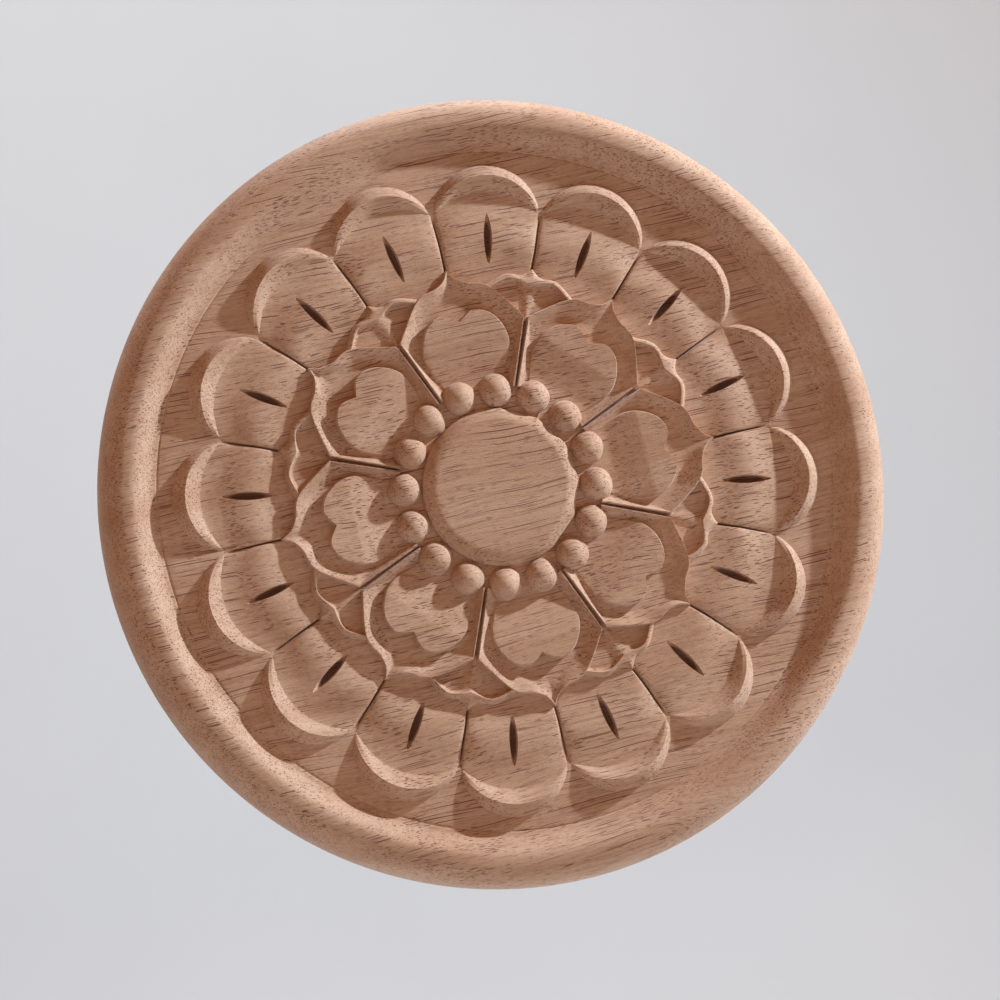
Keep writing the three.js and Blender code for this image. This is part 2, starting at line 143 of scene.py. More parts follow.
# Leaves
LEAF_TIP_RADIUS = 85.0
LEAF_DIP_RADIUS = 78.3
LEAF_TIP_HALF_WIDTH = 5.0
LEAF_TIP_POWER = 1.6
LEAF_LOBE = (8.6, 79.7)
LEAF_END = (15.8, 74.4)
LEAF_WALL_WIDTH = 1.7
LEAF_CREST_HEIGHT = 16.3
LEAF_RIDGE_HEIGHT = 14.8
LEAF_HOLLOW_HEIGHT = 14.0
LEAF_RIDGE_HALF_WIDTH = 7.0
LEAF_BORDER_SHARE = 0.12
LEAF_LIP_SHARE = 0.02
LEAF_ROOT_HALF_WIDTH = 1.6
LEAF_ROOT_RADIUS = 64.0

# Beads and centre button
BEADS = 16
BEAD_RING_RADIUS = 36.5
BEAD_RADIUS = 6.6
BEAD_CENTRE_HEIGHT = 12.8
BEAD_GROUND_HEIGHT = 14.4
BEAD_GROUND_MARGIN = 3.0
BEAD_UNEVENNESS = 0.05
BEAD_BUMPS = 1.3
BEAD_NOISE_STEP = 7.3
BUTTON_TOP_RADIUS = 24.0
BUTTON_EDGE_RADIUS = 29.6
BUTTON_TOP_HEIGHT = 18.6
BUTTON_EDGE_HEIGHT = 16.2
BUTTON_WALL_WIDTH = 0.8
BUTTON_BEVEL_POWER = 0.8
BUTTON_FLATS = 5
BUTTON_FLATS_START = math.radians(-62)
BUTTON_FLATS_END = math.radians(76)
BUTTON_FLAT_DEPTH = 0.9

# Thin ridges between the beads, from the corners of the button's flats
WEB_HALF_WIDTH = 0.5
WEB_RISE = 0.7
WEB_INNER_OVERLAP = 1.0
WEB_OUTER_OVERLAP = 2.0
WEB_STATIONS = (-1, -0.6, -0.25, 0, 0.25, 0.6, 1)

# Heights between which painted shade darkens the walls of deep cuts
PAINTED_SHADE_START = 13.1
PAINTED_SHADE_END = 12.2

# Fineness of the mesh
ROUND_STEPS = 288
BACK_ROUND_STEPS = 4
RIM_STEPS = 16
PETAL_STEPS = 40
OUTLINE_STEPS = 56
INNER_SIDE_STEPS = 12
SLIT_STEPS = 20
BEAD_SIDES = 32
BEAD_RINGS = 12
BUTTON_SIDES = 216
SHARP_ANGLE = math.radians(34)

# Small unevenness of hand finishing
WARP_REACH = 45.0
WARP_SIZE = 0.35
WARP_HEIGHT_SHARE = 0.4
WARP_RIM_FADE = 12.0
WARP_SEED = 1
BACK_TOLERANCE = 1e-4
RIPPLE_REACH = 6.0
RIPPLE_SIZE = 0.07

# Wood: what repeats in a metre along the grain and across it, with the detail and roughness
# of the noise
GRAIN_WANDER = (11, 26, 2, 0.45)
GROWTH_ZONES = (3, 75, 2, 0.55)
STREAKS = (14, 900, 3, 0.65)
FIBRES = (90, 3600, 2, 0.7)
SPECKLE = (500, 4200, 2, 0.7)
VESSEL_CROWDS = (20, 240, 2, 0.6)
FUZZ = (1700, 1900, 2, 0.7)

# Vessels: cells in a metre along and across, reach of the open core, share of open cells
LONG_VESSELS = (14, 1350, 0.31, 0.62)
MIDDLE_VESSELS = (48, 1600, 0.32, 0.45)
SHORT_VESSELS = (240, 2200, 0.37, 0.42)

# Wood: shift of the grain in metres, strength of each mark and of the painted shade in deep cuts,
# and depth of the surface in metres
GRAIN_DRIFT_IN = 0.0006
GRAIN_DRIFT_UP = 0.012
STREAK_STRENGTH = 0.5
FIBRE_STRENGTH = 0.55
SPECKLE_STRENGTH = 0.6
VESSEL_STRENGTH = 0.95
LONG_VESSEL_STRENGTH = 0.9
MIDDLE_VESSEL_STRENGTH = 0.85
SHORT_VESSEL_STRENGTH = 0.65
PAINTED_SHADE_STRENGTH = 0.7
BUMP_STRENGTH = 0.6
BUMP_DEPTH = 0.15 * MM


class Block:
    """Vertices and faces of closed blocks, gathered before they become one mesh."""

    def __init__(self):
        self.points = []
        self.faces = []

    def add(self, points, faces):
        start = len(self.points)
        self.points.extend(points)
        self.faces.extend([[start + corner for corner in face] for face in faces])

    def ring(self, count, first_turn=0.0, every=1):
        """Copies of the block turned about the board's centre."""
        made = Block()
        flat = np.array(self.points, float)
        for i in range(0, count, every):
            turn = first_turn + i * 2 * math.pi / count
            c, s = math.cos(turn), math.sin(turn)
            copy = flat.copy()
            copy[:, 0] = flat[:, 0] * c - flat[:, 1] * s
            copy[:, 1] = flat[:, 0] * s + flat[:, 1] * c
            made.add(copy.tolist(), self.faces)
        return made

    def mesh(self):
        made = bpy.data.meshes.new("block")
        made.from_pydata(self.points, [], self.faces)
        return made


def relief(rows):
    """Closed block under a grid of surface points, given from the outer foot inward."""
    grid = np.array(rows, float)
    row_count, stations = grid.shape[:2]
    size = row_count * stations
    buried = grid.copy()
    buried[:, :, 2] = BURIED_HEIGHT
    points = np.concatenate([grid.reshape(-1, 3), buried.reshape(-1, 3)])
    numbers = np.arange(size).reshape(row_count, stations)
    faces = []
    for r in range(row_count - 1):
        for s in range(stations - 1):
            a, b = numbers[r, s], numbers[r + 1, s]
            c, d = numbers[r + 1, s + 1], numbers[r, s + 1]
            faces.append([a, b, c, d])
            faces.append([size + a, size + d, size + c, size + b])
    border = [*numbers[0, :], *numbers[1:, -1], *numbers[-1, -2::-1], *numbers[-2:0:-1, 0]]
    for a, b in zip(border, border[1:] + border[:1]):
        faces.append([a, b, size + b, size + a])
    return weld(points, faces)


def weld(points, faces):
    """A block whose equal points are one, without the faces that this closes up."""
    keys = {}
    kept = []
    number = []
    for point in points:
        key = tuple(np.round(point, 5))
        if key not in keys:
            keys[key] = len(kept)
            kept.append(list(point))
        number.append(keys[key])
    solid = []
    for face in faces:
        corners = [number[i] for i in face]
        corners = [c for i, c in enumerate(corners) if c != corners[i - 1]]
        if len(set(corners)) >= 3:
            solid.append(corners)
    made = Block()
    made.add(kept, solid)
    return made


def polar(radius, angle):
    return np.array([radius * math.sin(angle), radius * math.cos(angle)])


def beside_ray(radius, angle, clearance):
    """Point beside the ray at an angle from +y, on the side toward +y."""
    aside = np.array([-clearance * math.cos(angle), clearance * math.sin(angle)])
    return polar(radius, angle) + aside


def arc_across(end, middle, u):
    """Arc through an end point, the axis at a middle radius, and the mirrored end."""
    rise = middle - end[1]
    radius = (end[0] ** 2 + rise**2) / (2 * rise)
    turn = 2 * math.atan2(rise, end[0]) * u
    return np.array([radius * math.sin(turn), middle - radius + radius * math.cos(turn)])


def smooth(points, steps):
    """Catmull-Rom curve through a few named points."""
    points = np.array(points, float)
    spans = len(points) - 1
    curve = []
    for i in range(steps + 1):
        t = i / steps * spans
        k = min(int(t), spans - 1)
        w = t - k
        before, start = points[max(k - 1, 0)], points[k]
        end, after = points[k + 1], points[min(k + 2, spans)]
        v0, v1 = (end - before) / 2, (after - start) / 2
        cubic = (2 * start - 2 * end + v0 + v1) * w**3
        square = (3 * end - 3 * start - 2 * v0 - v1) * w**2
        curve.append(cubic + square + v0 * w + start)
    return np.array(curve)


def mirrored(points):
    left = points[:0:-1] * (-1, 1)
    return np.concatenate([left, points])


def offset(points, distance):
    """Outline moved sideways: a positive distance goes away from the petal's middle."""
    before = np.concatenate([points[:1], points[:-1]])
    after = np.concatenate([points[1:], points[-1:]])
    along = after - before
    along /= np.linalg.norm(along, axis=1)[:, None]
    return points + np.stack([-along[:, 1], along[:, 0]], axis=1) * distance


def raised(points, height):
    heights = np.broadcast_to(np.asarray(height, float), (len(points),))
    return np.column_stack([points, heights])


def ease(share):
    return share * share * (3 - 2 * share)


def board():
    profile = [(0.0, 0.0), (BOARD_RADIUS - BACK_ROUND, 0.0)]
    for i in range(1, BACK_ROUND_STEPS + 1):
        turn = i / BACK_ROUND_STEPS * math.pi / 2
        profile.append((BOARD_RADIUS - BACK_ROUND * (1 - math.sin(turn)),
                        BACK_ROUND * (1 - math.cos(turn))))
    roll_width = BOARD_RADIUS - RIM_CREST_RADIUS
    roll_height = BOARD_THICKNESS - SIDE_HEIGHT
    for i in range(RIM_STEPS + 1):
        turn = i / RIM_STEPS * math.pi / 2
        profile.append((RIM_CREST_RADIUS + roll_width * abs(math.cos(turn)) ** (2 / RIM_FULLNESS),
                        SIDE_HEIGHT + roll_height * math.sin(turn) ** (2 / RIM_FULLNESS)))
    slope_width = RIM_CREST_RADIUS - RIM_FOOT_RADIUS
    slope_fall = BOARD_THICKNESS - FLOOR_HEIGHT
    for i in range(1, RIM_STEPS + 1):
        share = i / RIM_STEPS
        fall = ((1 - math.cos(math.pi * share)) / 2) ** RIM_SLOPE_POWER
        profile.append((RIM_CREST_RADIUS - slope_width * share,
                        BOARD_THICKNESS - slope_fall * fall))
    slope_start = len(profile) - RIM_STEPS
    lobe_start = OUTER_CREST_RADIUS - OUTER_LOBE_DEPTH
    floor_edge = RIM_FOOT_RADIUS - FOOT_GROOVE_WIDTH
    groove_middle = RIM_FOOT_RADIUS - FOOT_GROOVE_WIDTH * FOOT_GROOVE_MIDDLE_SHARE
    profile.append((groove_middle, FLOOR_HEIGHT - FOOT_GROOVE_DEPTH))
    floor_steps = 5
    for i in range(floor_steps + 1):
        share = i / floor_steps
        profile.append((floor_edge + (lobe_start - floor_edge) * share, FLOOR_HEIGHT))
    bead_ground = BEAD_RING_RADIUS + BEAD_GROUND_MARGIN
    profile += [
        (lobe_start - GROUND_SLOPE_WIDTH, GROUND_HEIGHT),
        (INNER_GAP_RADIUS + ROOT_DEPTH, GROUND_HEIGHT),
        (INNER_GAP_RADIUS, INNER_GROUND_HEIGHT),
        (bead_ground + ROOT_DEPTH, INNER_GROUND_HEIGHT),
        (bead_ground, BEAD_GROUND_HEIGHT),
        (0.0, BEAD_GROUND_HEIGHT),
    ]

    def spread(radius, angle):
        """How far the slope and the floor behind it move inward where the rim is wide."""
        down = min((RIM_CREST_RADIUS - radius) / slope_width, 1)
        away = (angle - RIM_SPREAD_MIDDLE) / RIM_SPREAD_REACH
        return min(radius - lobe_start, RIM_SPREAD) * down * math.exp(-away * away)

    points = []
    for row, (radius, height) in enumerate(profile):
        for i in range(ROUND_STEPS):
            angle = i * 2 * math.pi / ROUND_STEPS
            reach = radius
            if row >= slope_start and radius > lobe_start:
                reach -= spread(radius, angle)
            points.append((reach * math.cos(angle), reach * math.sin(angle), height))
    faces = []
    for r in range(len(profile) - 1):
        for i in range(ROUND_STEPS):
            j = (i + 1) % ROUND_STEPS
            a, b = r * ROUND_STEPS + i, r * ROUND_STEPS + j
            faces.append([a, b, b + ROUND_STEPS, a + ROUND_STEPS])
    return weld(points, faces)


def outer_petal():
    half_angle = math.pi / OUTER_PETALS
    rows = []

    def end_at(beyond_crest):
        return OUTER_CREST_RADIUS - OUTER_LOBE_DEPTH + beyond_crest * OUTER_END_SPREAD

    def add_row(beyond_crest, height, flatness):
        rows.append((end_at(beyond_crest), OUTER_CREST_RADIUS + beyond_crest, height, flatness))

    def swell_at(radius):
        away = min(abs(radius - BODY_SWELL_RADIUS) / BODY_SWELL_REACH, 1)
        return BODY_SWELL * math.cos(math.pi * away)

    body_steps = 14
    crease = OUTER_CREST_RADIUS - OUTER_HOLLOW_WIDTH
    for i in range(body_steps):
        share = i / body_steps
        end = OUTER_INNER_END + (end_at(-OUTER_HOLLOW_WIDTH) - OUTER_INNER_END) * share
        middle = OUTER_INNER_END + (crease - OUTER_INNER_END) * share
        rows.append((end, middle, OUTER_BODY_HEIGHT + swell_at(middle), BODY_FLATNESS))
    crease_swell = swell_at(crease)
    crease_height = OUTER_BODY_HEIGHT + crease_swell
    hollow_depth = OUTER_CREST_HEIGHT - crease_height
    hollow_steps = 9
    for i in range(hollow_steps + 1):
        share = i / hollow_steps
        flatness = BODY_FLATNESS + (CREST_FLATNESS - BODY_FLATNESS) * ease(share)
        height = crease_height + hollow_depth * share**HOLLOW_POWER
        add_row(OUTER_HOLLOW_WIDTH * (share - 1), height, flatness)
    wall_foot = FLOOR_HEIGHT - ROOT_DEPTH
    wall_steps = 12
    for i in range(1, wall_steps + 1):
        share = i / wall_steps
        height = wall_foot + (OUTER_CREST_HEIGHT - wall_foot) * (1 - share**OUTER_WALL_POWER)
        add_row(OUTER_WALL_WIDTH * share, height, CREST_FLATNESS)
    surface = []
    for number, (end, middle, height, flatness) in enumerate(rows):
        swell = swell_at(middle) if number < body_steps else crease_swell
        edge_height = OUTER_EDGE_HEIGHT + swell
        shoulder_height = edge_height - GROOVE_SHOULDER_DROP
        if number == len(rows) - 1:
            edge_height = shoulder_height = wall_foot
        edge = beside_ray(end, half_angle, GROOVE_WIDTH / 2)
        shoulder = beside_ray(end, half_angle, GROOVE_SHOULDER_WIDTH / 2)
        bottom = beside_ray(end, half_angle, GROOVE_BOTTOM_WIDTH / 2)
        root = GROUND_HEIGHT - ROOT_DEPTH
        points = [(-bottom[0], bottom[1], root), (-shoulder[0], shoulder[1], shoulder_height)]
        for i in range(PETAL_STEPS + 1):
            u = 2 * i / PETAL_STEPS - 1
            spot = arc_across(edge, middle, u)
            fullness = 1 - abs(u) ** flatness
            points.append((spot[0], spot[1], edge_height + (height - edge_height) * fullness))
        points += [(shoulder[0], shoulder[1], shoulder_height), (bottom[0], bottom[1], root)]
        surface.append(points)
    return relief(surface[::-1])


def slit():
    """Lens-shaped cut with steep walls and a shallow V for its bottom."""
    half_length = SLIT_LENGTH / 2
    middle = OUTER_CREST_RADIUS - SLIT_CLEARANCE - half_length
    top = OUTER_BODY_HEIGHT + SLIT_OVERCUT
    flare = SLIT_WIDTH / 2 * (1 - SLIT_WALL_SHARE) / (SLIT_DEPTH * SLIT_WALL_SHARE) * SLIT_OVERCUT
    points = []
    for i in range(SLIT_STEPS + 1):
        u = 2 * i / SLIT_STEPS - 1
        lens = 1 - u * u
        depth = SLIT_DEPTH * lens
        half_width = SLIT_WIDTH / 2 * lens + flare
        y = middle + half_length * u
        wall_foot = (half_width * SLIT_WALL_SHARE, OUTER_BODY_HEIGHT - depth * SLIT_WALL_SHARE)
        points += [(-half_width, y, top), (-wall_foot[0], y, wall_foot[1]),
                   (0.0, y, OUTER_BODY_HEIGHT - depth),
                   (wall_foot[0], y, wall_foot[1]), (half_width, y, top)]
    corners = 5
    last = corners * SLIT_STEPS
    faces = [list(range(corners)), list(range(last + corners - 1, last - 1, -1))]
    for i in range(SLIT_STEPS):
        for side in range(corners):
            a, b = corners * i + side, corners * i + (side + 1) % corners
            faces.append([a, a + corners, b + corners, b])
    made = Block()
    made.add(points, faces)
    return made


def inner_outline():
    half_angle = math.pi / INNER_PETALS
    gap = beside_ray(INNER_GAP_RADIUS, half_angle, WEDGE_WIDTH / 2)
    end = beside_ray(INNER_END_RADIUS, half_angle, WEDGE_INNER_WIDTH / 2)
    round_part = smooth([(0, INNER_TIP_RADIUS), INNER_WAIST, INNER_NECK, INNER_SHOULDER, gap],
                        OUTLINE_STEPS - INNER_SIDE_STEPS)
    shares = np.arange(1, INNER_SIDE_STEPS + 1)[:, None] / INNER_SIDE_STEPS
    return np.concatenate([round_part, gap + (end - gap) * shares])


def heart_height(radius):
    """Height of a pad, which bends down to the ring of beads."""
    beyond = radius - HEART_BEND_RADIUS
    height = HEART_HEIGHT + np.where(beyond > 0, HEART_OUTER_SLOPE, HEART_INNER_SLOPE) * beyond
    return np.maximum(height, HEART_END_HEIGHT)


def inner_petal():
    crest = inner_outline()
    heart = smooth([(0, HEART_NOTCH_RADIUS), HEART_LOBE, HEART_SHOULDER, HEART_SIDE,
                    (HEART_END_HALF_WIDTH, INNER_END_RADIUS)], OUTLINE_STEPS)
    full = mirrored(crest)
    pad = mirrored(heart)
    steps_from_tip = np.abs(np.arange(len(full)) - OUTLINE_STEPS)
    share = ease(np.minimum(steps_from_tip / (OUTLINE_STEPS * INNER_TIP_SHARE), 1))
    crest_height = INNER_TIP_HEIGHT + (INNER_CREST_HEIGHT - INNER_TIP_HEIGHT) * share
    pad_height = heart_height(pad[:, 1])
    pad_foot = offset(pad, HEART_WALL_WIDTH)
    spine = np.column_stack([np.zeros(len(pad)), np.minimum(pad[:, 1], HEART_NOTCH_RADIUS)])
    inward = pad_foot - full
    lip = full + inward / np.linalg.norm(inward, axis=1)[:, None] * INNER_LIP_WIDTH
    rows = [
        raised(offset(full, INNER_WALL_WIDTH), GROUND_HEIGHT - ROOT_DEPTH),
        raised(offset(full, INNER_WALL_WIDTH * INNER_EDGE_WIDTH_SHARE),
               crest_height - INNER_EDGE_DROP),
        raised(full, crest_height),
        raised(lip, crest_height),
    ]
    bowl_steps = 12
    for i in range(1, bowl_steps + 1):
        s = i / bowl_steps
        rise = max(1 - s / INNER_RAMP_SHARE, 0) ** INNER_RAMP_POWER
        height = INNER_VALLEY_HEIGHT + (crest_height - INNER_VALLEY_HEIGHT) * rise
        rows.append(raised(lip + (pad_foot - lip) * s, height))
    rows.append(raised(pad, pad_height - HEART_EDGE_ROUND))
    inset = pad + (spine - pad) * HEART_EDGE_SHARE
    rows.append(raised(inset, pad_height))
    pad_steps = 9
    for i in range(1, pad_steps + 1):
        spots = inset + (spine - inset) * i / pad_steps
        rows.append(raised(spots, heart_height(spots[:, 1])))
    return relief(rows)


def leaf():
    half = smooth([(0, LEAF_DIP_RADIUS), LEAF_LOBE, LEAF_END], OUTLINE_STEPS // 2)
    crest = mirrored(half)
    foot = offset(crest, LEAF_WALL_WIDTH)
    nearness = np.maximum(1 - np.abs(foot[:, 0]) / LEAF_TIP_HALF_WIDTH, 0) ** LEAF_TIP_POWER
    foot[:, 1] += (LEAF_TIP_RADIUS - LEAF_DIP_RADIUS - LEAF_WALL_WIDTH) * nearness
    root = np.column_stack([crest[:, 0] / LEAF_END[0] * LEAF_ROOT_HALF_WIDTH,
                            np.full(len(crest), LEAF_ROOT_RADIUS)])
    across = np.minimum(np.abs(crest[:, 0]) / LEAF_RIDGE_HALF_WIDTH, 1)
    roof = LEAF_RIDGE_HEIGHT + (LEAF_HOLLOW_HEIGHT - LEAF_RIDGE_HEIGHT) * ease(across)
    rows = []
    wall_steps = 6
    base = GROUND_HEIGHT - ROOT_DEPTH
    for i in range(wall_steps + 1):
        turn = i / wall_steps * math.pi / 2
        rows.append(raised(foot + (crest - foot) * (1 - math.cos(turn)),
                           base + (LEAF_CREST_HEIGHT - base) * math.sin(turn)))
    rows.append(raised(crest + (root - crest) * LEAF_LIP_SHARE, LEAF_CREST_HEIGHT))
    border_steps = 6
    for i in range(2, border_steps + 1):
        s = i / border_steps
        rows.append(raised(crest + (root - crest) * LEAF_BORDER_SHARE * s,
                           LEAF_CREST_HEIGHT + (roof - LEAF_CREST_HEIGHT) * (1 - (1 - s) ** 2)))
    roof_shares = (0.35, 0.65, 1.0)
    for s in roof_shares:
        rows.append(raised(crest + (root - crest) * s, roof))
    return relief(rows)


def beads():
    """The ring of beads, each a little uneven in its own way."""
    root = GROUND_HEIGHT - ROOT_DEPTH - BEAD_CENTRE_HEIGHT
    profile = [(0.0, root), (BEAD_RADIUS, root)]
    for i in range(BEAD_RINGS + 1):
        turn = i / BEAD_RINGS * math.pi / 2
        profile.append((BEAD_RADIUS * math.cos(turn), BEAD_RADIUS * math.sin(turn)))
    profile[-1] = (0.0, BEAD_RADIUS)
    made = Block()
    for number in range(BEADS):
        turn = (number + 0.5) * 2 * math.pi / BEADS
        middle = (BEAD_RING_RADIUS * math.sin(turn), BEAD_RING_RADIUS * math.cos(turn))

        def uneven(radius, angle, height):
            way = Vector((math.cos(angle), math.sin(angle), height / BEAD_RADIUS)) * BEAD_BUMPS
            way += Vector((number * BEAD_NOISE_STEP, 0, 0))
            return radius * (1 + BEAD_UNEVENNESS * noise.noise(way))

        shape = turned(profile, BEAD_SIDES, (*middle, BEAD_CENTRE_HEIGHT), uneven)
        made.add(shape.points, shape.faces)
    return made


def turned(profile, sides, centre, reach_at):
    """Closed block of a profile turned about an upright axis, with its radius free to vary."""
    points = []
    for radius, height in profile:
        for i in range(sides):
            angle = i * 2 * math.pi / sides
            reach = reach_at(radius, angle, height)
            points.append((centre[0] + reach * math.cos(angle),
                           centre[1] + reach * math.sin(angle), centre[2] + height))
    faces = []
    for r in range(len(profile) - 1):
        for i in range(sides):
            j = (i + 1) % sides
            a, b = r * sides + i, r * sides + j
            faces.append([a, b, b + sides, a + sides])
    return weld(points, faces)


def button():
    base = GROUND_HEIGHT - ROOT_DEPTH
    bevel_width = BUTTON_EDGE_RADIUS - BUTTON_TOP_RADIUS
    bevel_fall = BUTTON_TOP_HEIGHT - BUTTON_EDGE_HEIGHT
    profile = [
        (0.0, base),
        (BUTTON_EDGE_RADIUS + BUTTON_WALL_WIDTH, base),
        (BUTTON_EDGE_RADIUS + BUTTON_WALL_WIDTH * 0.5, BEAD_GROUND_HEIGHT),
    ]
    bevel_steps = 6
    for i in range(bevel_steps + 1):
        s = i / bevel_steps
        profile.append((BUTTON_EDGE_RADIUS - bevel_width * s,
                        BUTTON_EDGE_HEIGHT
                        + bevel_fall * math.sin(s * math.pi / 2) ** BUTTON_BEVEL_POWER))
    top_shares = (0.7, 0.35, 0.0)
    profile += [(BUTTON_TOP_RADIUS * share, BUTTON_TOP_HEIGHT) for share in top_shares]
    flat_span = (BUTTON_FLATS_END - BUTTON_FLATS_START) / BUTTON_FLATS

    def chipped(radius, angle, height):
        along = ((angle - BUTTON_FLATS_START) % (2 * math.pi)) / flat_span
        if radius <= BUTTON_TOP_RADIUS or along > BUTTON_FLATS:
            return radius
        across = 2 * (along % 1) - 1
        reach = min((radius - BUTTON_TOP_RADIUS) / bevel_width, 1)
        return radius - BUTTON_FLAT_DEPTH * (1 - across * across) * reach

    return turned(profile, BUTTON_SIDES, (0, 0, 0), chipped)


def webs():
    """Thin ridges between two beads, from the corners of the button's flats outward."""
    inner = BUTTON_EDGE_RADIUS - WEB_INNER_OVERLAP
    outer = BEAD_RING_RADIUS + WEB_OUTER_OVERLAP
    root = GROUND_HEIGHT - ROOT_DEPTH
    steps = 8
    rows = []
    for i in range(steps + 1):
        s = i / steps
        top = BEAD_GROUND_HEIGHT + WEB_RISE * s
        y = outer + (inner - outer) * s
        rows.append([(WEB_HALF_WIDTH * u * (2 - s), y, root + (top - root) * (1 - u * u))
                     for u in WEB_STATIONS])
    ridge = relief(rows)
    made = Block()
    for number in range(BUTTON_FLATS + 1):
        share = number / BUTTON_FLATS
        angle = BUTTON_FLATS_START + (BUTTON_FLATS_END - BUTTON_FLATS_START) * share
        one = ridge.ring(1, angle - math.pi / 2)
        made.add(one.points, one.faces)
    return made


def placed(name, data):
    """A new object with this data, in the scene."""
    made = bpy.data.objects.new(name, data)
    bpy.context.scene.collection.objects.link(made)
    return made


def combined(mesh, tool, operation):
    """The mesh joined with a tool mesh, or cut by it."""
    base = placed("carving_base", mesh)
    other = placed("carving_tool", tool)
    modifier = base.modifiers.new("combine", "BOOLEAN")
    modifier.operation = operation
    modifier.solver = "MANIFOLD"
    modifier.object = other
    depsgraph = bpy.context.evaluated_depsgraph_get()
    made = bpy.data.meshes.new_from_object(base.evaluated_get(depsgraph))
    for each in (base, other):
        bpy.data.objects.remove(each)
    return made


def carved_mesh():
    outer_turn = math.pi / OUTER_PETALS
    inner_turn = math.pi / INNER_PETALS
    pair_turn = 2 * math.pi / INNER_PETALS
    petal = inner_petal()
    joins = [
        outer_petal().ring(OUTER_PETALS, outer_turn),
        leaf().ring(INNER_PETALS, inner_turn),
        petal.ring(INNER_PETALS, 0.0, 2),
        petal.ring(INNER_PETALS, pair_turn, 2),
        beads(),
        webs(),
        button(),
    ]
    mesh = board().mesh()
    for piece in joins:
        mesh = combined(mesh, piece.mesh(), "UNION")
    return combined(mesh, slit().ring(OUTER_PETALS, outer_turn).mesh(), "DIFFERENCE")


def hand_finish(mesh):
    """Slight unevenness of outlines and faces, which fades out at the rim. The back stays flat."""
    noise.seed_set(WARP_SEED)
    points = np.empty(len(mesh.vertices) * 3)
    mesh.vertices.foreach_get("co", points)
    points = points.reshape(-1, 3)
    for point in points:
        if point[2] < BACK_TOLERANCE:
            continue
        radius = math.hypot(point[0], point[1])
        calm = min(max((BOARD_RADIUS - radius) / WARP_RIM_FADE, 0), 1)
        slow = noise.noise_vector(Vector(point) / WARP_REACH)
        quick = noise.noise(Vector(point) / RIPPLE_REACH)
        point[0] += slow.x * WARP_SIZE * calm
        point[1] += slow.y * WARP_SIZE * calm
        point[2] += (slow.z * WARP_SIZE * WARP_HEIGHT_SHARE + quick * RIPPLE_SIZE) * calm
    mesh.vertices.foreach_set("co", points.ravel())
    mesh.update()


class Nodes:
    """Short way to add and join shader nodes."""

    def __init__(self, material):
        material.use_nodes = True
        self.tree = material.node_tree
        self.shader = self.tree.nodes["Principled BSDF"]

    def add(self, kind, inputs=None, **settings):
        node = self.tree.nodes.new(kind)
        for key, value in settings.items():
            setattr(node, key, value)
        for key, value in (inputs or {}).items():
            self.feed(node.inputs[key], value)
        return node

    def feed(self, socket, value):
        if isinstance(value, bpy.types.NodeSocket):
            self.tree.links.new(value, socket)
        else:
            socket.default_value = value

    def math(self, operation, a, b=0.0, c=0.0):
        return self.add("ShaderNodeMath", {0: a, 1: b, 2: c}, operation=operation).outputs[0]

    def mix(self, share, a, b):
        """Colour a where the share is 0, and b where it is 1."""
        node = self.add("ShaderNodeMix", data_type="RGBA")
        self.feed(node.inputs[0], share)
        self.feed(node.inputs[6], a)
        self.feed(node.inputs[7], b)
        return node.outputs[2]

    def ramp(self, value, low, high, out_low=0.0, out_high=1.0):
        node = self.add("ShaderNodeMapRange", {"Value": value, "From Min": low, "From Max": high,
                                               "To Min": out_low, "To Max": out_high},
                        interpolation_type="SMOOTHSTEP")
        return node.outputs[0]

    def noise(self, vector, detail, roughness):
        node = self.add("ShaderNodeTexNoise", {"Vector": vector, "Scale": 1.0, "Detail": detail,
                                               "Roughness": roughness})
        return node.outputs["Fac"]


def srgb(red, green, blue):
    """Linear colour of a screen colour given as 0 to 255."""

    def linear(value):
        return ((value + 0.055) / 1.055) ** 2.4 if value > 0.04045 else value / 12.92

    return (linear(red / 255), linear(green / 255), linear(blue / 255), 1.0)


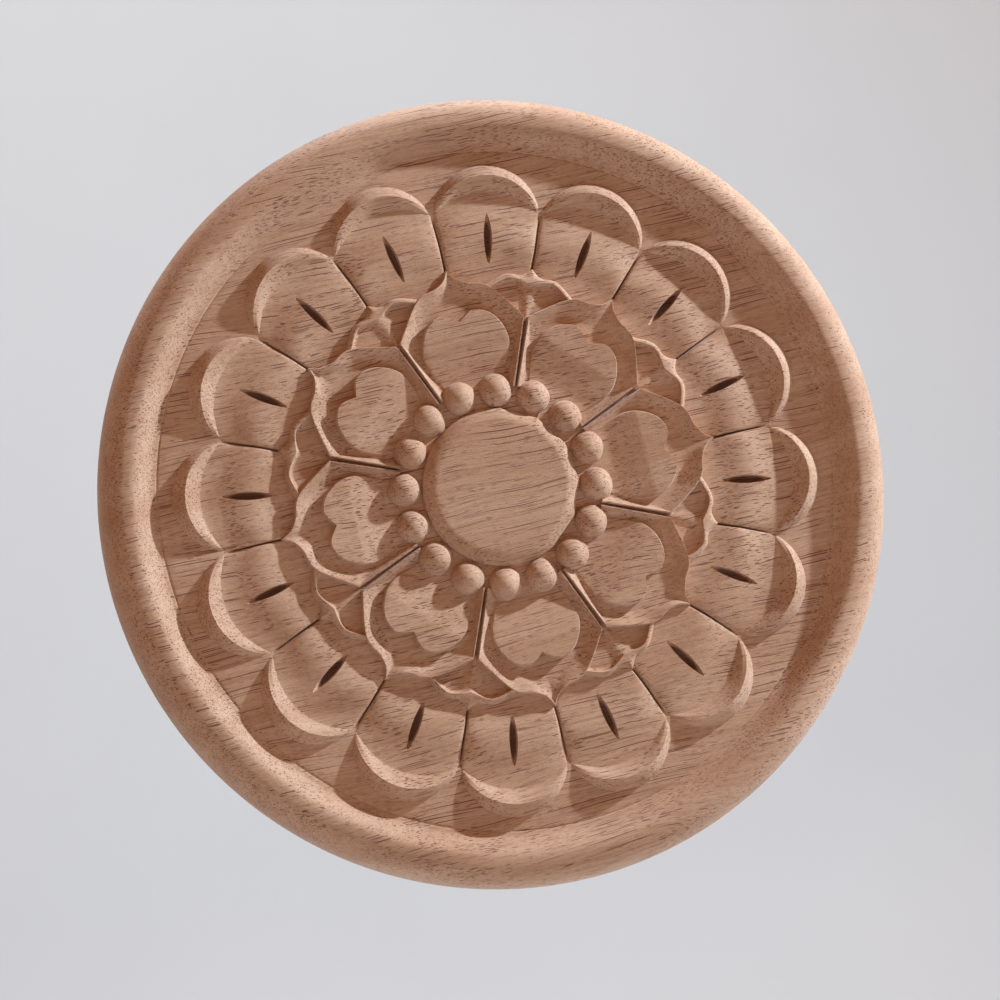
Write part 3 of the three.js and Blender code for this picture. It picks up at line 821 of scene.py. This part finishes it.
def wood_material():
    wood = bpy.data.materials.new("wood")
    n = Nodes(wood)
    place = n.add("ShaderNodeTexCoord").outputs["Object"]

    def stretched(vector, along, across):
        mapping = n.add("ShaderNodeMapping", {"Vector": vector})
        mapping.inputs["Scale"].default_value = (along, across, across)
        return mapping.outputs[0]

    def pattern(vector, along, across, detail, roughness):
        return n.noise(stretched(vector, along, across), detail, roughness)

    # The grain wanders a little as it runs along the board
    wander = pattern(place, *GRAIN_WANDER)
    drift = n.add("ShaderNodeCombineXYZ", {1: n.math("MULTIPLY", wander, GRAIN_DRIFT_IN),
                                           2: n.math("MULTIPLY", wander, GRAIN_DRIFT_UP)})
    moved = n.add("ShaderNodeVectorMath", {0: place, 1: drift.outputs[0]}, operation="ADD")
    grain = moved.outputs[0]

    # Growth zones, streaks and single fibres
    zones = pattern(grain, *GROWTH_ZONES)
    streaks = pattern(grain, *STREAKS)
    fibres = pattern(grain, *FIBRES)
    speckle = pattern(grain, *SPECKLE)

    # Open vessels: long thin cells, dashes along the grain and dots across it
    def vessels(along, across, thin, share):
        cell = n.add("ShaderNodeTexVoronoi", {"Vector": stretched(grain, along, across),
                                              "Scale": 1.0, "Randomness": 1.0}, feature="F1")
        chance = n.add("ShaderNodeSeparateColor", {0: cell.outputs["Color"]}).outputs[0]
        core = n.ramp(cell.outputs["Distance"], thin * 0.6, thin, 1.0, 0.0)
        return n.math("MULTIPLY", core, n.math("LESS_THAN", chance, share))

    long_vessels = n.math("MULTIPLY", vessels(*LONG_VESSELS), LONG_VESSEL_STRENGTH)
    middle_vessels = n.math("MULTIPLY", vessels(*MIDDLE_VESSELS), MIDDLE_VESSEL_STRENGTH)
    short_vessels = n.math("MULTIPLY", vessels(*SHORT_VESSELS), SHORT_VESSEL_STRENGTH)
    crowding = n.ramp(pattern(grain, *VESSEL_CROWDS), 0.36, 0.56, 0.3, 1.0)
    pores = n.math("MULTIPLY", n.math("MAXIMUM", middle_vessels, short_vessels), crowding)
    pores = n.math("MAXIMUM", pores, long_vessels)

    # Painted shade: deep cuts are darker, inside the rim and not on the back, standing in for the
    # shade that falls in them
    spot = n.add("ShaderNodeSeparateXYZ", {0: place}).outputs
    reach_squared = n.math("MULTIPLY_ADD", spot[0], spot[0], n.math("MULTIPLY", spot[2], spot[2]))
    reach = n.math("SQRT", reach_squared)
    painted_shade_zone = n.math("MULTIPLY", n.math("LESS_THAN", reach, RIM_FOOT_RADIUS * MM),
                    n.math("LESS_THAN", spot[1], -BURIED_HEIGHT * MM))
    painted_cut_shade = n.ramp(spot[1], -PAINTED_SHADE_START * MM, -PAINTED_SHADE_END * MM, 0.0, PAINTED_SHADE_STRENGTH)
    painted_cut_shade = n.math("MULTIPLY", painted_cut_shade, painted_shade_zone)

    # Colours, from the palest wood to the painted shade inside the cuts
    pale = srgb(214, 175, 145)
    tan = srgb(199, 156, 124)
    brown = srgb(160, 112, 80)
    vessel = srgb(118, 60, 32)
    cut_shade_colour = srgb(80, 40, 22)
    colour = n.mix(n.ramp(zones, 0.3, 0.7), pale, tan)
    colour = n.mix(n.ramp(streaks, 0.42, 0.75, 0.0, STREAK_STRENGTH), colour, brown)
    colour = n.mix(n.ramp(fibres, 0.45, 0.8, 0.0, FIBRE_STRENGTH), colour, brown)
    colour = n.mix(n.ramp(speckle, 0.45, 0.8, 0.0, SPECKLE_STRENGTH), colour, brown)
    colour = n.mix(n.math("MULTIPLY", pores, VESSEL_STRENGTH), colour, vessel)
    # Painted shade: low surfaces in the cuts are darkened toward a dark brown
    colour = n.mix(painted_cut_shade, colour, cut_shade_colour)
    n.feed(n.shader.inputs["Base Color"], colour)
    n.feed(n.shader.inputs["Roughness"], n.ramp(fibres, 0.3, 0.7, 0.62, 0.8))
    n.shader.inputs["Specular IOR Level"].default_value = 0.35
    n.shader.inputs["Sheen Weight"].default_value = 0.2
    n.shader.inputs["Sheen Roughness"].default_value = 0.5

    # Relief of the surface: raised fibres and fuzz, sunk vessels
    height = n.math("MULTIPLY_ADD", fibres, 0.5, n.math("MULTIPLY", speckle, 0.6))
    height = n.math("MULTIPLY_ADD", streaks, 0.5, height)
    height = n.math("MULTIPLY_ADD", pores, -1.2, height)
    height = n.math("MULTIPLY_ADD", pattern(place, *FUZZ), 1.2, height)
    bump = n.add("ShaderNodeBump", {"Height": height, "Strength": BUMP_STRENGTH,
                                    "Distance": BUMP_DEPTH})
    n.feed(n.shader.inputs["Normal"], bump.outputs[0])
    return wood


def carved_onlay_piece():
    mesh = carved_mesh()
    hand_finish(mesh)
    upright = Matrix.Rotation(math.pi / 2, 4, "X") @ Matrix.Scale(MM, 4)
    mesh.transform(upright)
    mesh.polygons.foreach_set("use_smooth", [True] * len(mesh.polygons))
    mesh.set_sharp_from_angle(angle=SHARP_ANGLE)
    mesh.name = "carved_rosette"
    piece = placed("carved_rosette", mesh)
    mesh.materials.clear()
    mesh.materials.append(wood_material())
    weighted = piece.modifiers.new("weighted", "WEIGHTED_NORMAL")
    weighted.keep_sharp = True
    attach(piece, "root")
    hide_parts(NODE)


# Camera: the face is tilted away from the camera's axis and turned in the picture
CAMERA_DISTANCE = 1.209
CAMERA_TILT = math.radians(10.93)
TILT_TOWARD = math.radians(36.47)
PATTERN_TURN = math.radians(13.68)
AIM_SHIFT = Vector((0.00102, -0.00386, 0))
AIM_HEIGHT = 0.0063
VIEW_WIDTH = 0.378
SENSOR_WIDTH = 36


def camera():
    upright_axes = Matrix.Rotation(math.pi / 2, 3, "X")
    data = bpy.data.cameras.new("camera")
    data.sensor_width = SENSOR_WIDTH
    data.lens = SENSOR_WIDTH * CAMERA_DISTANCE / VIEW_WIDTH
    data.clip_start, data.clip_end = 0.05, 60
    made = placed("camera", data)
    tilt = (Matrix.Rotation(TILT_TOWARD, 3, "Z") @ Matrix.Rotation(CAMERA_TILT, 3, "Y")
            @ Matrix.Rotation(-TILT_TOWARD, 3, "Z"))
    seen = tilt @ Matrix.Rotation(PATTERN_TURN, 3, "Z")
    spot = seen.transposed() @ (AIM_SHIFT + Vector((0, 0, CAMERA_DISTANCE)))
    spot += Vector((0, 0, AIM_HEIGHT))
    made.matrix_world = (Matrix.Translation(upright_axes @ spot)
                         @ (upright_axes @ seen.transposed()).to_4x4())
    bpy.context.scene.camera = made


def light(name, azimuth, elevation, distance, size, power, colour):
    """Area light over the face: azimuth from +x toward +z, elevation off the face's plane."""
    data = bpy.data.lights.new(name, "AREA")
    data.shape = "DISK"
    data.size = size
    data.energy = power
    data.color = colour
    made = placed(name, data)
    turn = math.radians(azimuth)
    rise = math.radians(elevation)
    level = math.cos(rise)
    way = Vector((level * math.cos(turn), -math.sin(rise), level * math.sin(turn)))
    place = way * distance
    made.location = place
    made.rotation_euler = (-place).to_track_quat("-Z", "Y").to_euler()


def studio():
    """A low cool key light, two faint edge lights from behind, and a warm room."""
    light("key", azimuth=27.3, elevation=12.5, distance=1.6, size=0.06, power=39,
          colour=(0.84, 1.01, 1.18))
    light("low_edge", azimuth=255, elevation=-12, distance=1.3, size=0.5, power=3,
          colour=(1.0, 0.93, 0.92))
    light("top_edge", azimuth=78, elevation=-3, distance=1.3, size=0.5, power=6,
          colour=(0.80, 1.0, 1.20))
    world = bpy.data.worlds.new("studio")
    bpy.context.scene.world = world
    world.use_nodes = True
    nodes, links = world.node_tree.nodes, world.node_tree.links
    warm = nodes["Background"]
    warm.inputs["Color"].default_value = (1.0, 0.53, 0.28, 1)
    warm.inputs["Strength"].default_value = 0.35
    pale = nodes.new("ShaderNodeBackground")
    pale.inputs["Color"].default_value = (0.62, 0.61, 0.60, 1)
    seen = nodes.new("ShaderNodeLightPath")
    mix = nodes.new("ShaderNodeMixShader")
    links.new(seen.outputs["Is Camera Ray"], mix.inputs[0])
    links.new(warm.outputs[0], mix.inputs[1])
    links.new(pale.outputs[0], mix.inputs[2])
    links.new(mix.outputs[0], nodes["World Output"].inputs["Surface"])
    bpy.context.scene.view_settings.view_transform = "Standard"


BACKDROP_FLOOR = -0.65
BACKDROP_DEPTH = 2.3
BACKDROP_COVE = 0.5
BACKDROP_COVE_STEPS = 12
BACKDROP_HALF_WIDTH = 5.0
BACKDROP_FRONT = -5.0
BACKDROP_TOP = 4.0
BACKDROP_TINTS = ((0.72, 0.77, 0.80, 1), (0.75, 0.80, 0.83, 1))
WALL_WASH_SIZE = 1.6
WALL_WASH_POWER = 26
WALL_WASH_PLACE = Vector((0, 0.9, 2.4))
WALL_WASH_AIM_HEIGHT = -0.2


def backdrop():
    """Pale studio floor that bends up into a wall far behind the piece."""
    profile = [(BACKDROP_FRONT, BACKDROP_FLOOR)]
    for i in range(BACKDROP_COVE_STEPS + 1):
        turn = i / BACKDROP_COVE_STEPS * math.pi / 2
        profile.append((BACKDROP_DEPTH - BACKDROP_COVE * (1 - math.sin(turn)),
                        BACKDROP_FLOOR + BACKDROP_COVE * (1 - math.cos(turn))))
    profile.append((BACKDROP_DEPTH, BACKDROP_TOP))
    sides = (-BACKDROP_HALF_WIDTH, BACKDROP_HALF_WIDTH)
    points = [(x, y, z) for y, z in profile for x in sides]
    faces = [[2 * i, 2 * i + 1, 2 * i + 3, 2 * i + 2] for i in range(len(profile) - 1)]
    mesh = bpy.data.meshes.new("backdrop")
    mesh.from_pydata(points, [], faces)
    mesh.polygons.foreach_set("use_smooth", [True] * len(faces))
    made = placed("backdrop", mesh)
    material = bpy.data.materials.new("backdrop")
    n = Nodes(material)
    place = n.add("ShaderNodeTexCoord").outputs["Object"]
    cloud = n.ramp(n.noise(place, 4, 0.6), 0.3, 0.7)
    n.feed(n.shader.inputs["Base Color"], n.mix(cloud, *BACKDROP_TINTS))
    n.shader.inputs["Roughness"].default_value = 0.9
    mesh.materials.append(material)


def wall_wash():
    """Area light that brightens the wall behind the piece."""
    data = bpy.data.lights.new("wall_wash", "AREA")
    data.size = WALL_WASH_SIZE
    data.energy = WALL_WASH_POWER
    made = placed("wall_wash", data)
    made.location = WALL_WASH_PLACE
    aim = Vector((0, BACKDROP_DEPTH, WALL_WASH_AIM_HEIGHT)) - WALL_WASH_PLACE
    made.rotation_euler = aim.to_track_quat("-Z", "Y").to_euler()


camera()
carved_onlay_piece()
studio()
backdrop()
wall_wash()
